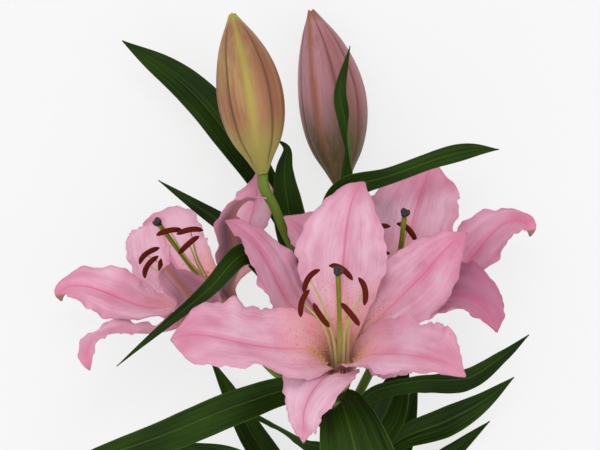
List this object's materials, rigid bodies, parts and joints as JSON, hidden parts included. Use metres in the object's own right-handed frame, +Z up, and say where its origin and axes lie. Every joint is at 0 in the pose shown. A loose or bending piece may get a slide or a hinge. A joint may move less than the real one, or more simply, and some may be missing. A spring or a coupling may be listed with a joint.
{
  "type": "cut lily",
  "caption": "Cut oriental lily laid on a table: a leafy green stem that carries open pink trumpet blooms with long stamens, and closed buds.",
  "frame": {"origin": "centre of the box round the lily, on the table", "axes": "+Y along the stem, from its cut end to the buds; +Z up from the table; +X to the right seen from above with the buds at the top"},
  "size_m": [0.3192, 0.616, 0.1738],
  "materials": {
    "stem": "satin",
    "leaf": "satin",
    "petal": "matte",
    "sepal": "matte",
    "stamens": "matte",
    "pistil": "satin",
    "bud": "satin"
  },
  "bodies": {
    "root": {"stem": "stem", "front_petal_top": "petal", "front_petal_left": "petal", "front_petal_right": "petal", "front_sepal_upper_left": "sepal", "front_sepal_upper_right": "sepal", "front_sepal_lower": "sepal", "front_stamens": "stamens", "front_pistil": "pistil", "left_petal_back": "petal", "left_petal_outer": "petal", "left_petal_near": "petal", "left_sepal_top": "sepal", "left_sepal_lower": "sepal", "left_sepal_right": "sepal", "left_stamens": "stamens", "left_pistil": "pistil", "right_petal_top": "petal", "right_petal_lower": "petal", "right_petal_left": "petal", "right_sepal_back": "sepal", "right_sepal_outer": "sepal", "right_sepal_under": "sepal", "right_stamens": "stamens", "right_pistil": "pistil", "bud_left": "bud", "bud_right": "bud", "leaf_01": "leaf", "leaf_02": "leaf", "leaf_03": "leaf", "leaf_04": "leaf", "leaf_05": "leaf", "leaf_06": "leaf", "leaf_07": "leaf", "leaf_08": "leaf", "leaf_09": "leaf", "leaf_10": "leaf", "leaf_11": "leaf", "leaf_12": "leaf", "leaf_13": "leaf", "leaf_14": "leaf", "leaf_15": "leaf", "leaf_16": "leaf", "leaf_17": "leaf", "leaf_18": "leaf", "leaf_19": "leaf", "leaf_20": "leaf", "leaf_21": "leaf"}
  },
  "joints": []
}
